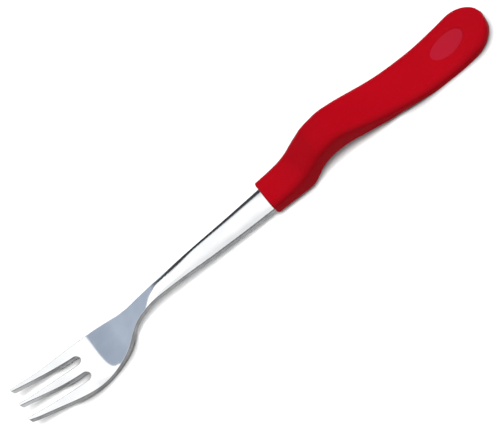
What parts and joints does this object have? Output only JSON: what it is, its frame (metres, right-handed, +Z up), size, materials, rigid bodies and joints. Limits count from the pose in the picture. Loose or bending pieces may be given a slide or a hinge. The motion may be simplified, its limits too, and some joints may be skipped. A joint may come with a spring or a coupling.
{
  "type": "table fork",
  "caption": "Table fork with slotted concave head, slim cranked neck and a moulded S-curved plastic handle over a keyed tang.",
  "frame": {"origin": "middle of the footprint on the bench, at bench height", "axes": "+X from the tine tips to the end of the handle, +Z up out of the concave side of the head, +Y to the left when looking along +X"},
  "size_m": [0.2, 0.0208, 0.0159],
  "materials": {
    "steel": "bright polished stainless steel with a faint lengthwise grain",
    "red_plastic": "satin moulded plastic, crimson red"
  },
  "bodies": {
    "root": {"steel_fork": "steel", "handle": "red_plastic"}
  },
  "joints": []
}
